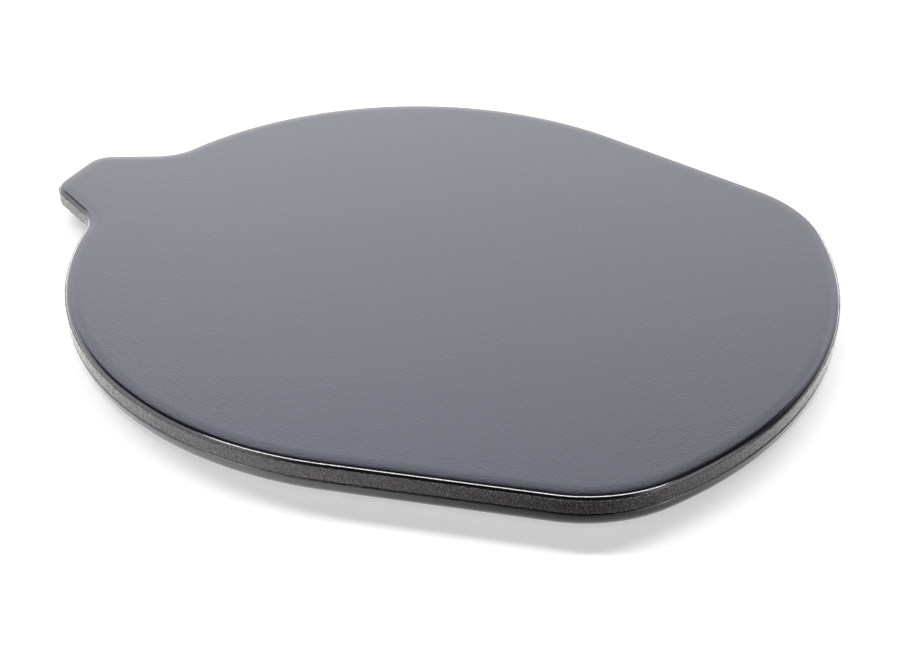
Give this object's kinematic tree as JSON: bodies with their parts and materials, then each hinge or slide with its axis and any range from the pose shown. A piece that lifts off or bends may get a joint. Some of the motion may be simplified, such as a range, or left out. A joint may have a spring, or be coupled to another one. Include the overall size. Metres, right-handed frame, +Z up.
{
  "type": "pizza stone",
  "caption": "Flat glazed ceramic pizza stone: a round baking face that widens to a broad far end, with a flat lifting tab on the near side.",
  "frame": {"origin": "centre of the round baking area, on the flat underside that the stone rests on", "axes": "+Z up through the baking face, +X towards the broad far end, so the lifting tab points along -X, +Y completes the right-handed frame and the plan is the same on both sides of the XZ plane"},
  "size_m": [0.3645, 0.3, 0.014],
  "materials": {
    "fired_clay": "bare pressed cordierite, fine-grained and matte",
    "satin_glaze": "charcoal satin glaze with a fine orange-peel grain",
    "speckled_glaze": "black glaze over a coarse pressed edge, gritty with bright specks",
    "smooth_glaze": "black glaze, smooth and semi-gloss"
  },
  "bodies": {
    "root": {"stone_body": "fired_clay", "top_glaze": "satin_glaze", "rim_glaze": "speckled_glaze", "base_glaze": "smooth_glaze"}
  },
  "joints": []
}
